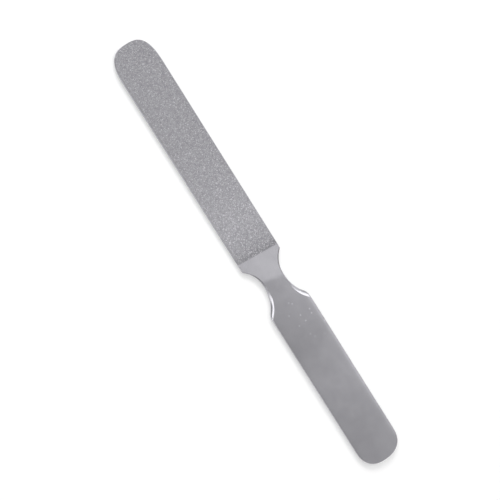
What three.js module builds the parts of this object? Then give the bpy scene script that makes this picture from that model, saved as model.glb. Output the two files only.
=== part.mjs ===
// A metal file for nails and hard skin: one steel blank, ground thinner along its blade, with a
// coarse abrasive coat plated on the blade's front and a finer one on its back.
// Millimetres. +X runs to the blade's tip, +Y across the file and +Z out of the front face.
// The origin lies under the file's middle, in the plane of the handle's back face.

import * as THREE from "three";

// The blank is cut from strip of one width and then ground, so that blade and handle are equally wide
const overallLength = 200;
const stripWidth = 18.5;
const handleThickness = 2.4;
const bladeThickness = 1.3;

// Both ends are half superellipses: an ellipse has power 2, and a higher power is squarer
const tipEnd = { length: 14.4, power: 2.9 };
const buttEnd = { length: 9.1, power: 2.4 };

// The waist is cut by a small scallop on the blade's side and a larger one on the handle's side
const neckWidth = 9.45;
const bladeScallop = { x: -11.6, radius: 11.9, shoulderRadius: 0.8 };
const handleScallop = { x: -12.2, radius: 16.4, shoulderRadius: 4 };

// Polished bevels run between the outline and the faces, this wide on the plain stretches
const bladeBevel = 0.15;
const neckBevel = 0.45;
const handleBevel = 0.2;

// The handle's faces have scallops of their own, set back to leave a crescent on each shoulder. They are
// ground by hand, so that the left one, on +Y, is a little narrower than the right one. A heel is how far
// its scallop cuts into the neck
const crescents = {
  left: { x: -14.6, radius: 13.6, shoulderRadius: 0.7, heel: 0.37 },
  right: { x: -15.9, radius: 13.6, shoulderRadius: 0.7, heel: 0.13 },
};
const faceShoulderRadius = 0.4;

// From here to the handle's end its sides are plain
const gripStart = -28;

// A bevel swells a little between face and wall, and a wide one is flatter, so that a wall is left
const bevelSwell = { width: 0.4, depth: 0.37 };
const bevelDepth = { least: 0.03, perWidth: 0.47 };

// Grinding thins the blade along a ramp from the waist to the abrasive. Neither line is quite square:
// askew is how far a line runs towards the tip for each millimetre across the file
const rampStart = { x: -11, askew: 0.25 };
const rampEnd = { x: 0.65, askew: 0.083 };
const rampBlend = 0.9;
const rampRing = 0.15;

// The plated abrasive stops short of the blade's edge and, at a masked line, just short of the ramp
const coarseThickness = 0.22;
const fineThickness = 0.18;
const coatMargin = 0.2;
const maskMargin = 0.05;

// Fineness of the facets
const endSteps = 18;
const scallopSteps = 28;
const neckSteps = 4;
const bevelSteps = 5;
const faceColumns = 6;

const halfLength = overallLength / 2;
const halfWidth = stripWidth / 2;
const halfNeck = neckWidth / 2;
const halfHandle = handleThickness / 2;
const halfBlade = bladeThickness / 2;
const middle = halfHandle;

// The blank seen from above
const blankOutline = {
  tip: { ...tipEnd, x: halfLength },
  butt: { ...buttEnd, x: -halfLength },
  bladeHalf: halfWidth,
  handleHalf: halfWidth,
  neckHalf: halfNeck,
  bladeScallop: { ...bladeScallop, least: halfNeck },
  handleScallop: { ...handleScallop, least: halfNeck },
};

// Within it, the edge of the faces on the side of one crescent
function faceOutline(crescent) {
  return {
    tip: { ...tipEnd, x: halfLength - bladeBevel, length: tipEnd.length - bladeBevel },
    butt: { ...buttEnd, x: -halfLength + handleBevel, length: buttEnd.length - handleBevel },
    bladeHalf: halfWidth - bladeBevel,
    handleHalf: halfWidth - handleBevel,
    neckHalf: halfNeck - neckBevel,
    bladeScallop: {
      x: bladeScallop.x,
      radius: bladeScallop.radius + neckBevel,
      shoulderRadius: faceShoulderRadius,
      least: halfNeck - neckBevel,
    },
    handleScallop: { ...crescent, least: halfNeck - crescent.heel },
  };
}

// Height of a face above the middle plane: the handle's, then a ramp with a rounded start, then the blade's
function halfThickness(x, y) {
  const start = rampStart.x + rampStart.askew * y;
  const end = rampEnd.x + rampEnd.askew * y;
  const slope = (halfHandle - halfBlade) / (end - start);
  const run = x - start;
  let drop = Math.max(0, slope * run);
  if (Math.abs(run) < rampBlend) {
    drop = (slope * (run + rampBlend) ** 2) / (4 * rampBlend);
  }
  return Math.max(halfBlade, halfHandle - drop);
}

// A quarter of a superellipse about the X axis, from its pole outwards
function endPoints({ x, length, power }, halfSpan) {
  const towards = Math.sign(x);
  const points = [];
  for (let i = 0; i <= endSteps; i++) {
    const angle = (i / endSteps) * (Math.PI / 2);
    const along = length * Math.max(0, Math.cos(angle)) ** (2 / power);
    const across = halfSpan * Math.sin(angle) ** (2 / power);
    points.push(new THREE.Vector2(x - towards * (length - along), across));
  }
  return points;
}

// A rounded shoulder at the strip's side, the scallop, which comes as close as least to the X axis, and a
// straight run from there to the neck; towards is 1 for the blade
function scallopPoints({ x, radius, shoulderRadius, least }, sideHalf, neck, towards) {
  const centre = new THREE.Vector2(x, least + radius);
  const shoulderY = sideHalf - shoulderRadius;
  const reach = Math.sqrt((radius + shoulderRadius) ** 2 - (centre.y - shoulderY) ** 2);
  const shoulder = new THREE.Vector2(x + towards * reach, shoulderY);
  const toCentre = centre.clone().sub(shoulder).angle();
  const toShoulder = shoulder.clone().sub(centre).angle();
  const path = new THREE.Path();
  path.absarc(shoulder.x, shoulder.y, shoulderRadius, Math.PI / 2, toCentre, towards < 0);
  path.absarc(centre.x, centre.y, radius, toShoulder, 1.5 * Math.PI, towards > 0);
  path.lineTo(neck.x, neck.y);
  return path.getSpacedPoints(scallopSteps);
}

// One side of an outline, from the blade's tip to the handle's end; side is 1 for +Y and -1 for -Y
function sidePoints(outline, side) {
  const { tip, butt, bladeHalf, handleHalf, neckHalf } = outline;
  const rampLines = [maskMargin, 0, -rampRing].map(
    (step) => new THREE.Vector2(rampEnd.x + step + rampEnd.askew * side * bladeHalf, bladeHalf),
  );
  const neck = new THREE.LineCurve(
    new THREE.Vector2(bladeScallop.x, neckHalf),
    new THREE.Vector2(handleScallop.x, neckHalf),
  );
  const bladeCut = scallopPoints(outline.bladeScallop, bladeHalf, neck.v1, 1);
  const handleCut = scallopPoints(outline.handleScallop, handleHalf, neck.v2, -1);
  const points = [
    ...endPoints(tip, bladeHalf),
    ...rampLines,
    ...bladeCut,
    ...neck.getPoints(neckSteps).slice(1, -1),
    ...handleCut.reverse(),
    new THREE.Vector2(gripStart, handleHalf),
    ...endPoints(butt, handleHalf).reverse(),
  ];
  return points.map(({ x, y }) => new THREE.Vector2(x, side * y));
}

// The skin over one edge, from the front face over both bevels to the back face
function edgeSkin(outer, inner) {
  const width = outer.distanceTo(inner);
  const depth = Math.min(width, bevelDepth.least + bevelDepth.perWidth * width);
  const front = [];
  const back = [];
  for (let k = 0; k <= bevelSteps; k++) {
    const t = k / bevelSteps;
    const inset = (1 - t) ** 2 + 2 * t * (1 - t) * bevelSwell.width;
    const drop = depth * (t ** 2 + 2 * t * (1 - t) * bevelSwell.depth);
    const { x, y } = outer.clone().lerp(inner, inset);
    const height = halfThickness(x, y) - drop;
    front.push(new THREE.Vector3(x, y, middle + height));
    back.unshift(new THREE.Vector3(x, y, middle - height));
  }
  return [...front, ...back];
}

// Points across a face between two edges, both left out, on the face's own height
function acrossFace(from, to, sign) {
  const points = [];
  for (let k = 1; k < faceColumns; k++) {
    const point = from.clone().lerp(to, k / faceColumns);
    point.z = middle + sign * halfThickness(point.x, point.y);
    points.push(point);
  }
  return points;
}

// A closed skin over rings of equally many points; rings that shrink to a line close its two ends
function loft(rings) {
  const positions = [];
  const indexOf = new Map();
  const indexRings = rings.map((ring) =>
    ring.map((p) => {
      const key = p.toArray().map((v) => Math.round(v * 1e4)).join();
      if (!indexOf.has(key)) {
        indexOf.set(key, positions.length / 3);
        positions.push(p.x, p.y, p.z);
      }
      return indexOf.get(key);
    }),
  );
  const triangles = [];
  const addTriangle = (a, b, c) => {
    if (a !== b && b !== c && c !== a) {
      triangles.push(a, b, c);
    }
  };
  for (let i = 0; i + 1 < indexRings.length; i++) {
    const ring = indexRings[i];
    const next = indexRings[i + 1];
    ring.forEach((a, j) => {
      const k = (j + 1) % ring.length;
      addTriangle(a, next[k], next[j]);
      addTriangle(a, ring[k], next[k]);
    });
  }
  const geometry = new THREE.BufferGeometry();
  geometry.setAttribute("position", new THREE.Float32BufferAttribute(positions, 3));
  geometry.setIndex(triangles);
  geometry.computeVertexNormals();
  return geometry;
}

function blankGeometry() {
  const [left, right] = [[1, crescents.left], [-1, crescents.right]].map(([side, crescent]) => {
    const inner = sidePoints(faceOutline(crescent), side);
    return sidePoints(blankOutline, side).map((outer, i) => edgeSkin(outer, inner[i]));
  });
  const rings = left.map((leftEdge, i) => {
    const rightEdge = right[i].reverse();
    const frontFace = acrossFace(rightEdge.at(-1), leftEdge[0], 1);
    const backFace = acrossFace(leftEdge.at(-1), rightEdge[0], -1);
    return [...leftEdge, ...backFace, ...rightEdge, ...frontFace];
  });
  return loft(rings);
}

// The blade's outline within the coat's margin, cut off by the masked line
function coatGeometry(thickness) {
  const halfSpan = halfWidth - coatMargin;
  const tip = endPoints({ ...tipEnd, x: halfLength - coatMargin }, halfSpan);
  const maskLine = rampEnd.x + maskMargin;
  const leftCorner = new THREE.Vector2(maskLine + rampEnd.askew * halfSpan, halfSpan);
  const rightCorner = new THREE.Vector2(maskLine - rampEnd.askew * halfSpan, -halfSpan);
  const rightTip = tip.slice(1).map(({ x, y }) => new THREE.Vector2(x, -y)).reverse();
  const shape = new THREE.Shape([...tip, leftCorner, rightCorner, ...rightTip]);
  return new THREE.ExtrudeGeometry(shape, { depth: thickness, bevelEnabled: false });
}

const steel = new THREE.MeshStandardMaterial({ color: 0xa9a9ac, roughness: 0.32, metalness: 1 });
const coarseGrit = new THREE.MeshStandardMaterial({ color: 0xa3a2a6, roughness: 0.75, metalness: 0.6 });
const fineGrit = new THREE.MeshStandardMaterial({ color: 0xacabaf, roughness: 0.65, metalness: 0.6 });

function piece(name, geometry, material, z) {
  const mesh = new THREE.Mesh(geometry, material);
  mesh.name = name;
  mesh.position.z = z;
  return mesh;
}

const file = new THREE.Group();
file.add(
  piece("steel_blank", blankGeometry(), steel, 0),
  piece("coarse_coat", coatGeometry(coarseThickness), coarseGrit, middle + halfBlade),
  piece("fine_coat", coatGeometry(fineThickness), fineGrit, middle - halfBlade - fineThickness),
);

export default file;
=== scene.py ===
import math
import random

import bmesh
import bpy
from mathutils import Euler, Matrix, Vector
from mathutils.bvhtree import BVHTree


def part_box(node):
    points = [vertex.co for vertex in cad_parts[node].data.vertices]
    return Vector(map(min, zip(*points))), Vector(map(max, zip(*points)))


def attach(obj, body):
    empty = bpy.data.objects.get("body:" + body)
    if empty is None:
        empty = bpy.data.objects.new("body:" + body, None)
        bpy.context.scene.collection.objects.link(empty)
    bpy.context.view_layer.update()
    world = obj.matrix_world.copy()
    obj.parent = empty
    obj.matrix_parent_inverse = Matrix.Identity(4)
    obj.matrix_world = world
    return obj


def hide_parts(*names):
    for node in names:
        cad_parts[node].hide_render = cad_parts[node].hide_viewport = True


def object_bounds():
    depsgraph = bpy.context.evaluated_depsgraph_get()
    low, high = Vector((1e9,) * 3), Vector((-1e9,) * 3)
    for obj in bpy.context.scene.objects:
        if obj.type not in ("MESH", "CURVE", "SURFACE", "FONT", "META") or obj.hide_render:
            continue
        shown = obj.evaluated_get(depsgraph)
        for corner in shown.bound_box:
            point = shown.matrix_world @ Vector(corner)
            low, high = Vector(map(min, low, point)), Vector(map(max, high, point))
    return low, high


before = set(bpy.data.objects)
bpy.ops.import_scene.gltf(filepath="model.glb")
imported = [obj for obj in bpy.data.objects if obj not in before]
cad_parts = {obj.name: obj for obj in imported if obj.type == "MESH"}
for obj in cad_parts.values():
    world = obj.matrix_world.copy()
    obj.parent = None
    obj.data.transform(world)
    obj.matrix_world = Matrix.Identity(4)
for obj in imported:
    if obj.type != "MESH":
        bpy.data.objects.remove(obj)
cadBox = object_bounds()  # the solids alone
print("frame: nodes", ", ".join(sorted(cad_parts)))


def mm(size):
    return size / 1000


def hexColour(code):  # sRGB hex to linear
    channels = [int(code[i:i + 2], 16) / 255 for i in (0, 2, 4)]
    return [c / 12.92 if c <= 0.04045 else ((c + 0.055) / 1.055) ** 2.4 for c in channels] + [1]


def addNode(tree, kind, inputs=None, **settings):
    node = tree.nodes.new(kind)
    for name, value in settings.items():
        setattr(node, name, value)
    for name, value in (inputs or {}).items():
        if isinstance(value, bpy.types.NodeSocket):
            tree.links.new(value, node.inputs[name])
        else:
            node.inputs[name].default_value = value
    return node


def mixColours(tree, share, first, second, **settings):
    inputs = {"Factor": share, 6: first, 7: second}  # inputs 6 and 7 of a Mix node take its colours
    return addNode(tree, "ShaderNodeMix", inputs, data_type="RGBA", **settings).outputs[2]


def setStops(ramp, stops):
    while len(ramp.elements) < len(stops):
        ramp.elements.new(1)
    for element, (place, colour) in zip(ramp.elements, stops):
        element.position = place
        element.color = colour


def newMaterial(name):
    material = bpy.data.materials.new(name)
    material.use_nodes = True
    material.node_tree.nodes.clear()
    return material, material.node_tree


def toneAlong(tree, place, tint, tones):  # each tone belongs to a place along the file
    start, end = tones[0][0], tones[-1][0]
    length = addNode(tree, "ShaderNodeSeparateXYZ", {"Vector": place}).outputs["X"]
    share = addNode(tree, "ShaderNodeMapRange", {
        "Value": length,
        "From Min": mm(start),
        "From Max": mm(end),
    })
    tone = addNode(tree, "ShaderNodeValToRGB", {"Fac": share.outputs["Result"]})
    setStops(tone.color_ramp, [((x - start) / (end - start), hexColour(code)) for x, code in tones])
    return mixColours(tree, 1, tint, tone.outputs["Color"], blend_type="MULTIPLY")


# Stainless steel, ground along its length and then buffed: a soft grey mirror with faint lengthwise lines,
# cloudy where the buff dwelt, with painted reflection in bands of tone along the handle, brightest in
# its middle and dull towards the waist, where fingers have left a few specks of wear; its ground bevels
# are bright
steelLook = {
    "colour": "D3D2D7",
    "cloudColour": "C0BFC5",
    # painted reflection: lighter and darker bands of tone along the handle
    "paintedReflectionBands": [  # mm from the middle, tone
        (-100, "F7F7F7"), (-80, "F6F6F6"), (-60, "FFFFFF"), (-40, "ECECEC"), (-20, "F5F5F5"),
        (-10, "F2F2F2"),
    ],
    "speckColour": "E6E5EB",
    "faceRoughness": (0.18, 0.21),
    "bevelRoughness": 0.2,
    "lineSpacing": 0.6,  # mm; real lines are about 0.05 mm apart, drawn coarser so that they show
    "lineStretch": 40,  # a line's length over its width
    "lineDepth": 0.00008,  # mm
    "lineRange": (0.3, 0.7),  # of the noise that draws the lines, spread over the faces' roughness
    "cloudSize": 6,  # mm
    "speckSpacing": 5,  # mm
    "speckSize": 0.09,  # of its spacing
    "held": (-30, -6, 1.2),  # mm, the middle of the worn spot
    "heldReach": (15, 6),  # mm from there, where wear begins and is full
}


def buffedSteel():
    material, tree = newMaterial("stainless_steel_ground_and_buffed")
    place = addNode(tree, "ShaderNodeTexCoord").outputs["Object"]
    stretched = addNode(tree, "ShaderNodeMapping", {
        "Vector": place,
        "Scale": (1 / steelLook["lineStretch"], 1, 1),
    })
    lines = addNode(tree, "ShaderNodeTexNoise", {
        "Vector": stretched.outputs["Vector"],
        "Scale": 1 / mm(steelLook["lineSpacing"]),
        "Detail": 3,
    })
    clouds = addNode(tree, "ShaderNodeTexNoise", {
        "Vector": place,
        "Scale": 1 / mm(steelLook["cloudSize"]),
        "Detail": 2,
    })
    specks = addNode(tree, "ShaderNodeTexVoronoi", {
        "Vector": place,
        "Scale": 1 / mm(steelLook["speckSpacing"]),
    }, voronoi_dimensions="2D")
    held = [mm(size) for size in steelLook["held"]]
    fromHeld = addNode(tree, "ShaderNodeVectorMath", {0: place, 1: held}, operation="DISTANCE")
    begins, full = steelLook["heldReach"]
    wear = addNode(tree, "ShaderNodeMapRange", {
        "Value": fromHeld.outputs["Value"],
        "From Min": mm(begins),
        "From Max": mm(full),
    })
    isSpeck = addNode(tree, "ShaderNodeMapRange", {
        "Value": specks.outputs["Distance"],
        "From Min": steelLook["speckSize"],
        "From Max": 0,
        "To Max": wear.outputs["Result"],
    })
    plain, cloud = hexColour(steelLook["colour"]), hexColour(steelLook["cloudColour"])
    cloudy = mixColours(tree, clouds.outputs["Fac"], plain, cloud)
    # painted reflection in bands of tone along the handle
    withPaintedSheen = toneAlong(tree, place, cloudy, steelLook["paintedReflectionBands"])
    tint = mixColours(tree, isSpeck.outputs["Result"], withPaintedSheen, hexColour(steelLook["speckColour"]))
    lowest, highest = steelLook["lineRange"]
    smoothest, roughest = steelLook["faceRoughness"]
    faceRough = addNode(tree, "ShaderNodeMapRange", {
        "Value": lines.outputs["Fac"],
        "From Min": lowest,
        "From Max": highest,
        "To Min": smoothest,
        "To Max": roughest,
    })
    bevelPolish = addNode(tree, "ShaderNodeAttribute", attribute_name="bevelPolish")
    rough = addNode(tree, "ShaderNodeMix", {
        "Factor": bevelPolish.outputs["Fac"],
        2: faceRough.outputs["Result"],  # inputs 2 and 3 of a Mix node take plain numbers
        3: steelLook["bevelRoughness"],
    })
    bump = addNode(tree, "ShaderNodeBump", {
        "Height": lines.outputs["Fac"],
        "Distance": mm(steelLook["lineDepth"]),
    })
    shader = addNode(tree, "ShaderNodeBsdfPrincipled", {
        "Base Color": tint,
        "Metallic": 1,
        "Roughness": rough.outputs[0],
        "Normal": bump.outputs["Normal"],
    })
    addNode(tree, "ShaderNodeOutputMaterial", {"Surface": shader.outputs["BSDF"]})
    return material


# The plated coat is clearest a little way up the blade and darker towards the tip, which is painted shade.
# Beside the masked line the bond is dull between clear grains
paintedShadeAlongCoat = [(14, "FFFFFF"), (30, "F7F7F7"), (55, "EEEEEE"), (100, "EBEBEB")]  # mm from the middle, tone


# Nickel plated out of a bath round the grains: dull, grey and finely pebbled, with painted shade in its
# hollows
bondLook = {
    "colour": "C0BFC4",
    # painted shade, darker where the pebbles' bump is low
    "paintedHollowShade": "88878C",
    "lineTones": [(0, "DADADA"), (2, "DEDEDE"), (5, "F4F4F4")],  # mm from the middle, tone
    "roughness": 0.6,
    "metallic": 0.5,
    "pebble": 0.9,  # mm
    "pebbleDepth": 0.05,  # mm
}


def nickelBond():
    material, tree = newMaterial("nickel_plated_bond")
    place = addNode(tree, "ShaderNodeTexCoord").outputs["Object"]
    pebbles = addNode(tree, "ShaderNodeTexNoise", {
        "Vector": place,
        "Scale": 1 / mm(bondLook["pebble"]),
        "Detail": 2,
    })
    hollow, raised = hexColour(bondLook["paintedHollowShade"]), hexColour(bondLook["colour"])
    # the bond is painted darker in the pebbles' hollows, as shade
    tint = mixColours(tree, pebbles.outputs["Fac"], hollow, raised)
    bump = addNode(tree, "ShaderNodeBump", {
        "Height": pebbles.outputs["Fac"],
        "Distance": mm(bondLook["pebbleDepth"]),
    })
    shader = addNode(tree, "ShaderNodeBsdfPrincipled", {
        # the bond's tone along the blade, with painted shade darker towards the tip
        "Base Color": toneAlong(tree, place, tint, bondLook["lineTones"] + paintedShadeAlongCoat),
        "Metallic": bondLook["metallic"],
        "Roughness": bondLook["roughness"],
        "Normal": bump.outputs["Normal"],
    })
    addNode(tree, "ShaderNodeOutputMaterial", {"Surface": shader.outputs["BSDF"]})
    return material


# Crushed abrasive grains under a skin of nickel: blocky, some dark and some clear, matt with bright facets
gritLook = {
    "darkColour": "9D9CA1",
    "clearColour": "DEDDE2",
    "lineTones": [(0, "FFFFFF"), (5, "F6F6F6")],
    "roughness": 0.45,
    "metallic": 0.3,
}


def platedGrit():
    material, tree = newMaterial("abrasive_grit_nickel_plated")
    place = addNode(tree, "ShaderNodeTexCoord").outputs["Object"]
    tone = addNode(tree, "ShaderNodeAttribute", attribute_name="grainTone")
    dark, clear = hexColour(gritLook["darkColour"]), hexColour(gritLook["clearColour"])
    tint = mixColours(tree, tone.outputs["Fac"], dark, clear)
    shader = addNode(tree, "ShaderNodeBsdfPrincipled", {
        # the grains' tone along the blade, with painted shade darker towards the tip
        "Base Color": toneAlong(tree, place, tint, gritLook["lineTones"] + paintedShadeAlongCoat),
        "Metallic": gritLook["metallic"],
        "Roughness": gritLook["roughness"],
    })
    addNode(tree, "ShaderNodeOutputMaterial", {"Surface": shader.outputs["BSDF"]})
    return material


def finishPiece(name, bm, material):
    mesh = bpy.data.meshes.new(name)
    bm.to_mesh(mesh)
    bm.free()
    mesh.materials.append(material)
    piece = bpy.data.objects.new(name, mesh)
    bpy.context.scene.collection.objects.link(piece)
    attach(piece, "root")
    print(name, len(mesh.polygons), "faces")
    return piece


# The blank: the solid's own shape, its crisp edges just broken and the handle dubbed over by the buff,
# which leant on its right side
blankShape = {
    "weld": mm(0.002),
    "flatAngle": 4,  # degrees between two triangles of one facet
    "dub": mm(0.15),  # lost from each face of the handle at its sides, and less along the ramp
    "rollWidth": mm(1.6),  # beside each side, where the buff rolled over
    "rollSteps": 4,
    "rollDepth": {"left": mm(0.02), "right": mm(0.09)},
    "edgeAngle": 35,  # degrees between faces whose edge is broken
    "edgeBreak": mm(0.06),
    "edgeSegments": 3,
    "bevelAngle": 10,  # degrees from level past which a face belongs to a bevel
    "creaseAngle": 14,  # degrees between two faces of one bevel that meet in a line
}


def polishedBlank(material):
    bm = bmesh.new()
    bm.from_mesh(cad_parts["steel_blank"].data)
    bmesh.ops.remove_doubles(bm, verts=bm.verts, dist=blankShape["weld"])
    bmesh.ops.join_triangles(
        bm, faces=bm.faces, angle_face_threshold=math.radians(blankShape["flatAngle"]),
        angle_shape_threshold=math.pi,
    )
    low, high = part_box("steel_blank")
    middle = (low.z + high.z) / 2
    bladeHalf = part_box("coarse_coat")[0].z - middle
    rollWidth, rollSteps = blankShape["rollWidth"], blankShape["rollSteps"]
    for step in range(rollSteps):
        rollLine = high.y - rollWidth * (1 - step / rollSteps)
        for y in (rollLine, -rollLine):
            bmesh.ops.bisect_plane(
                bm, geom=bm.verts[:] + bm.edges[:] + bm.faces[:], plane_co=(0, y, 0), plane_no=(0, 1, 0),
            )
    for vert in bm.verts:
        height = vert.co.z - middle
        onHandle = max(0, abs(height) - bladeHalf) / (high.z - middle - bladeHalf)
        rolled = max(0, 1 - (high.y - abs(vert.co.y)) / rollWidth)
        rollDepth = blankShape["rollDepth"]["left" if vert.co.y > 0 else "right"]
        lost = blankShape["dub"] * (vert.co.y / high.y) ** 2 + rollDepth * rolled ** 2
        vert.co.z -= math.copysign(lost * onHandle, height)
    crisp = [e for e in bm.edges if e.calc_face_angle(0) > math.radians(blankShape["edgeAngle"])]
    bmesh.ops.bevel(
        bm, geom=crisp, offset=blankShape["edgeBreak"], offset_type="OFFSET", affect="EDGES",
        segments=blankShape["edgeSegments"], profile=0.5, material=-1, clamp_overlap=True,
    )
    bm.normal_update()
    polish = bm.faces.layers.float.new("bevelPolish")
    for face in bm.faces:
        face.smooth = True
        face[polish] = abs(face.normal.z) < math.cos(math.radians(blankShape["bevelAngle"]))
    for edge in bm.edges:
        sameFinish = len({face[polish] for face in edge.link_faces}) == 1
        edge.smooth = sameFinish and edge.calc_face_angle(0) < math.radians(blankShape["creaseAngle"])
    piece = finishPiece("polished_blank", bm, material)
    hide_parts("steel_blank")


# The grains: blocky crystals half sunk in the bond, thrown on at random over each coat, coarse on the front
# and fine on the back
grainShape = {
    "stretch": (0.65, 1),  # of the radius, each way
    "sink": 0.5,  # of the radius
    "bedded": 0.5,  # of the radius that has to lie on the coat at its edge
    "rayStart": mm(1),  # above the coat, where the rays begin that look for it
    "lineReach": mm(3),  # from the masked line, beside which the tones are mixed differently
    "batch": 100,  # grains a block, since a small bmesh grows faster
}
coarseGrains = {
    "node": "coarse_coat",
    "up": 1,  # out of the front face
    "count": 9000,
    "radius": (0.16, 0.4),  # mm
    "tone": (0.6, 0.25),  # mean and spread
    "lineTone": (0.62, 0.8),  # mean and spread at the masked line
    "seed": 4,
}
fineGrains = {
    "node": "fine_coat",
    "up": -1,
    "count": 8500,
    "radius": (0.12, 0.24),
    "tone": (0.55, 0.2),
    "lineTone": (0.3, 0.3),
    "seed": 9,
}


def scatterGrains(name, look, material):
    rng = random.Random(look["seed"])
    low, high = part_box(look["node"])
    surface = BVHTree.FromObject(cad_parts[look["node"]], bpy.context.evaluated_depsgraph_get())
    top = high.z if look["up"] > 0 else low.z
    above = top + look["up"] * grainShape["rayStart"]
    down = Vector((0, 0, -look["up"]))
    smallest, largest = look["radius"]
    batch = grainShape["batch"]
    whole = bmesh.new()
    for start in range(0, look["count"], batch):
        block = bmesh.new()
        toneLayer = block.verts.layers.float.new("grainTone")
        for _ in range(min(batch, look["count"] - start)):
            radius = mm(smallest + (largest - smallest) * rng.random() ** 2)
            x = rng.uniform(low.x + radius, high.x - radius)
            y = rng.uniform(low.y + radius, high.y - radius)
            turn = Euler([rng.uniform(0, math.tau) for _ in range(3)]).to_matrix().to_4x4()
            stretch = Matrix.Diagonal([rng.uniform(*grainShape["stretch"]) for _ in range(3)] + [1])
            reach = radius * grainShape["bedded"]
            rim = [(reach, 0), (-reach, 0), (0, reach), (0, -reach)]
            nearLine = 1 - min(1, (x - low.x) / grainShape["lineReach"])
            mean, spread = [a + (b - a) * nearLine for a, b in zip(look["tone"], look["lineTone"])]
            tone = min(1, max(0, rng.gauss(mean, spread)))
            if any(surface.ray_cast(Vector((x + i, y + j, above)), down)[0] is None for i, j in rim):
                continue
            place = Matrix.Translation((x, y, top - look["up"] * radius * grainShape["sink"]))
            grain = bmesh.ops.create_icosphere(
                block, subdivisions=1, radius=radius, matrix=place @ turn @ stretch,
            )
            for vert in grain["verts"]:
                vert[toneLayer] = tone
        lump = bpy.data.meshes.new("grain_block")
        block.to_mesh(lump)
        block.free()
        whole.from_mesh(lump)
        bpy.data.meshes.remove(lump)
    finishPiece(name, whole, material)


bond = nickelBond()
grit = platedGrit()
for node in ("coarse_coat", "fine_coat"):
    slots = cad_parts[node].data.materials
    slots.clear()
    slots.append(bond)
polishedBlank(buffedSteel())
scatterGrains("coarse_grains", coarseGrains, grit)
scatterGrains("fine_grains", fineGrains, grit)


# The table: a white sheet of card that keeps the file's soft shadow
tableLook = {
    "halfSize": 4,  # m
    "gap": mm(0.02),
    "colour": "D3D3D3",
    "glow": 0.33,  # seen by the camera and in reflections, and lighting nothing
}


def whiteTable():
    material, tree = newMaterial("white_card")
    card = addNode(tree, "ShaderNodeBsdfDiffuse", {"Color": hexColour(tableLook["colour"])})
    path = addNode(tree, "ShaderNodeLightPath").outputs
    seen = addNode(tree, "ShaderNodeMath", {0: path["Is Camera Ray"], 1: path["Is Glossy Ray"]},
                   operation="ADD")
    seen = addNode(tree, "ShaderNodeMath", {0: seen.outputs[0], 1: path["Is Transmission Ray"]},
                   operation="ADD", use_clamp=True)
    level = addNode(tree, "ShaderNodeMath", {0: seen.outputs[0], 1: tableLook["glow"]},
                    operation="MULTIPLY")
    glow = addNode(tree, "ShaderNodeEmission", {"Strength": level.outputs[0]})
    both = addNode(tree, "ShaderNodeAddShader", {0: card.outputs[0], 1: glow.outputs[0]})
    addNode(tree, "ShaderNodeOutputMaterial", {"Surface": both.outputs[0]})
    bm = bmesh.new()
    bmesh.ops.create_grid(bm, x_segments=1, y_segments=1, size=tableLook["halfSize"],
                          matrix=Matrix.Translation((0, 0, cadBox[0].z - tableLook["gap"])))
    mesh = bpy.data.meshes.new("table")
    bm.to_mesh(mesh)
    bm.free()
    mesh.materials.append(material)
    table = bpy.data.objects.new("table", mesh)
    bpy.context.scene.collection.objects.link(table)


# The room is bright round the side of the blade's tip and the file's right, with a dimmer patch in the
# middle of that side, and dim behind the handle. Dark flags draw the dark edges of the waist: two on the
# left, beside the strip that lights the crescent's heel, and one on the right
room = {
    "brightSide": (0.7, -0.62, 0.354),
    "levels": [  # cosine of the angle from the bright side, level
        (-1, 0.42), (-0.5, 0.42), (-0.3, 0.9), (-0.12, 0.85), (0.05, 0.46), (0.18, 0.44), (0.25, 0.49),
        (0.335, 0.535), (0.395, 0.96), (0.8, 0.96), (0.92, 0.4), (1, 0.4),
    ],
    "flags": [(0.314, 0.673, 0.669), (-0.265, 0.656, 0.707), (-0.362, -0.814, 0.454)],
    "flagSpread": (20, 12),  # degrees from a flag's middle where it begins and is full
    "flagLevel": 0.42,
}
# Softboxes, each placed by where its middle is seen from the file. The strongest, off the tip, casts the
# shadow past the handle's end
softboxes = {
    "key_softbox": {
        "towards": (0.125, -0.617, 0.777),
        "distance": 1,  # m
        "size": (0.75, 0.39),  # m across and upwards
        "power": 1.18,  # W
        "mirrored": True,
    },
    "fill_softbox": {
        "towards": (0.121, 0.397, 0.91),
        "distance": 1,
        "size": (0.46, 0.26),
        "power": 0.62,
        "mirrored": True,
    },
    "tip_softbox": {
        "towards": (0.751, -0.35, 0.559),
        "distance": 2,
        "size": (1.1, 0.8),
        "power": 23.5,
        "mirrored": False,  # or it would burn out the tip's thin bevel
    },
    "side_strip": {
        "towards": (-0.027, 0.707, 0.707),
        "distance": 1,
        "size": (0.24, 0.54),
        "power": 0.45,
        "mirrored": True,
    },
}


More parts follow.
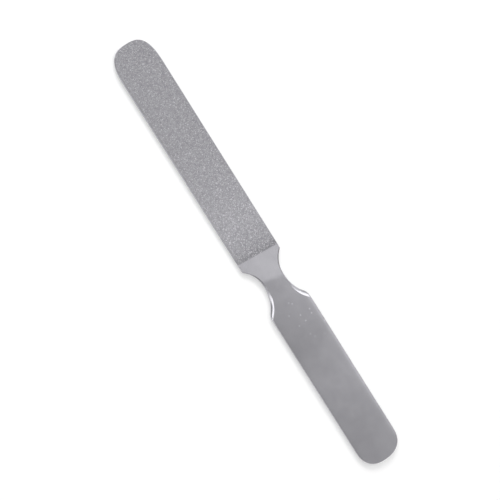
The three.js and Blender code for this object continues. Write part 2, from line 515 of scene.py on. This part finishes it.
def lightStudio():
    world = bpy.data.worlds.new("studio_room")
    bpy.context.scene.world = world
    world.use_nodes = True
    tree = world.node_tree
    tree.nodes.clear()
    direction = addNode(tree, "ShaderNodeTexCoord").outputs["Generated"]
    side = addNode(tree, "ShaderNodeVectorMath", {0: direction, 1: room["brightSide"]},
                   operation="DOT_PRODUCT")
    share = addNode(tree, "ShaderNodeMapRange", {"Value": side.outputs["Value"], "From Min": -1})
    level = addNode(tree, "ShaderNodeValToRGB", {"Fac": share.outputs["Result"]})
    setStops(level.color_ramp, [((cosine + 1) / 2, (v, v, v, 1)) for cosine, v in room["levels"]])
    begins, full = [math.cos(math.radians(angle)) for angle in room["flagSpread"]]
    strength = 1  # where no flag is
    for towards in room["flags"]:
        toFlag = addNode(tree, "ShaderNodeVectorMath", {0: direction, 1: towards}, operation="DOT_PRODUCT")
        flag = addNode(tree, "ShaderNodeMapRange", {
            "Value": toFlag.outputs["Value"],
            "From Min": begins,
            "From Max": full,
            "To Min": 1,
            "To Max": room["flagLevel"],
        }, interpolation_type="SMOOTHSTEP")
        strength = addNode(tree, "ShaderNodeMath", {0: flag.outputs["Result"], 1: strength},
                           operation="MULTIPLY").outputs[0]
    walls = addNode(tree, "ShaderNodeBackground", {
        "Color": level.outputs["Color"],
        "Strength": strength,
    })
    addNode(tree, "ShaderNodeOutputWorld", {"Surface": walls.outputs[0]})
    for name, look in softboxes.items():
        lamp = bpy.data.lights.new(name, "AREA")
        lamp.shape = "RECTANGLE"
        lamp.size, lamp.size_y = look["size"]
        lamp.energy = look["power"]
        box = bpy.data.objects.new(name, lamp)
        box.visible_glossy = look["mirrored"]
        bpy.context.scene.collection.objects.link(box)
        towards = Vector(look["towards"]).normalized()
        box.location = towards * look["distance"]
        box.rotation_mode = "QUATERNION"
        box.rotation_quaternion = towards.to_track_quat("Z", "Y")


# The camera: above the file, leaning a little to the blade's tip and to its left side
cameraView = {
    "target": (mm(3.81), mm(1.59), mm(1.2)),
    "distance": 0.8,  # m
    "leanToTip": 9.69,  # degrees
    "leanToLeft": 11.13,
    "turn": 57.79,  # degrees from the picture's right to the file's handle end, clockwise
    "lens": 142.95,  # mm
}


def placeCamera():
    leanX, leanY = math.radians(cameraView["leanToTip"]), math.radians(cameraView["leanToLeft"])
    back = Vector((math.tan(leanX), math.tan(leanY), 1)).normalized()
    toButt = Vector((-1, 0, 0))
    toButt = (toButt - back * toButt.dot(back)).normalized()
    toLeft = toButt.cross(back)
    turn = math.radians(cameraView["turn"])
    right = toButt * math.cos(turn) - toLeft * math.sin(turn)
    up = back.cross(right)
    lens = bpy.data.cameras.new("camera")
    lens.lens = cameraView["lens"]
    camera = bpy.data.objects.new("camera", lens)
    bpy.context.scene.collection.objects.link(camera)
    turned = Matrix((right, up, back)).transposed().to_4x4()
    place = Vector(cameraView["target"]) + back * cameraView["distance"]
    camera.matrix_world = Matrix.Translation(place) @ turned
    bpy.context.scene.camera = camera


whiteTable()
lightStudio()
placeCamera()
bpy.context.scene.view_settings.view_transform = "Standard"
print("stage: table, softboxes, room and camera")
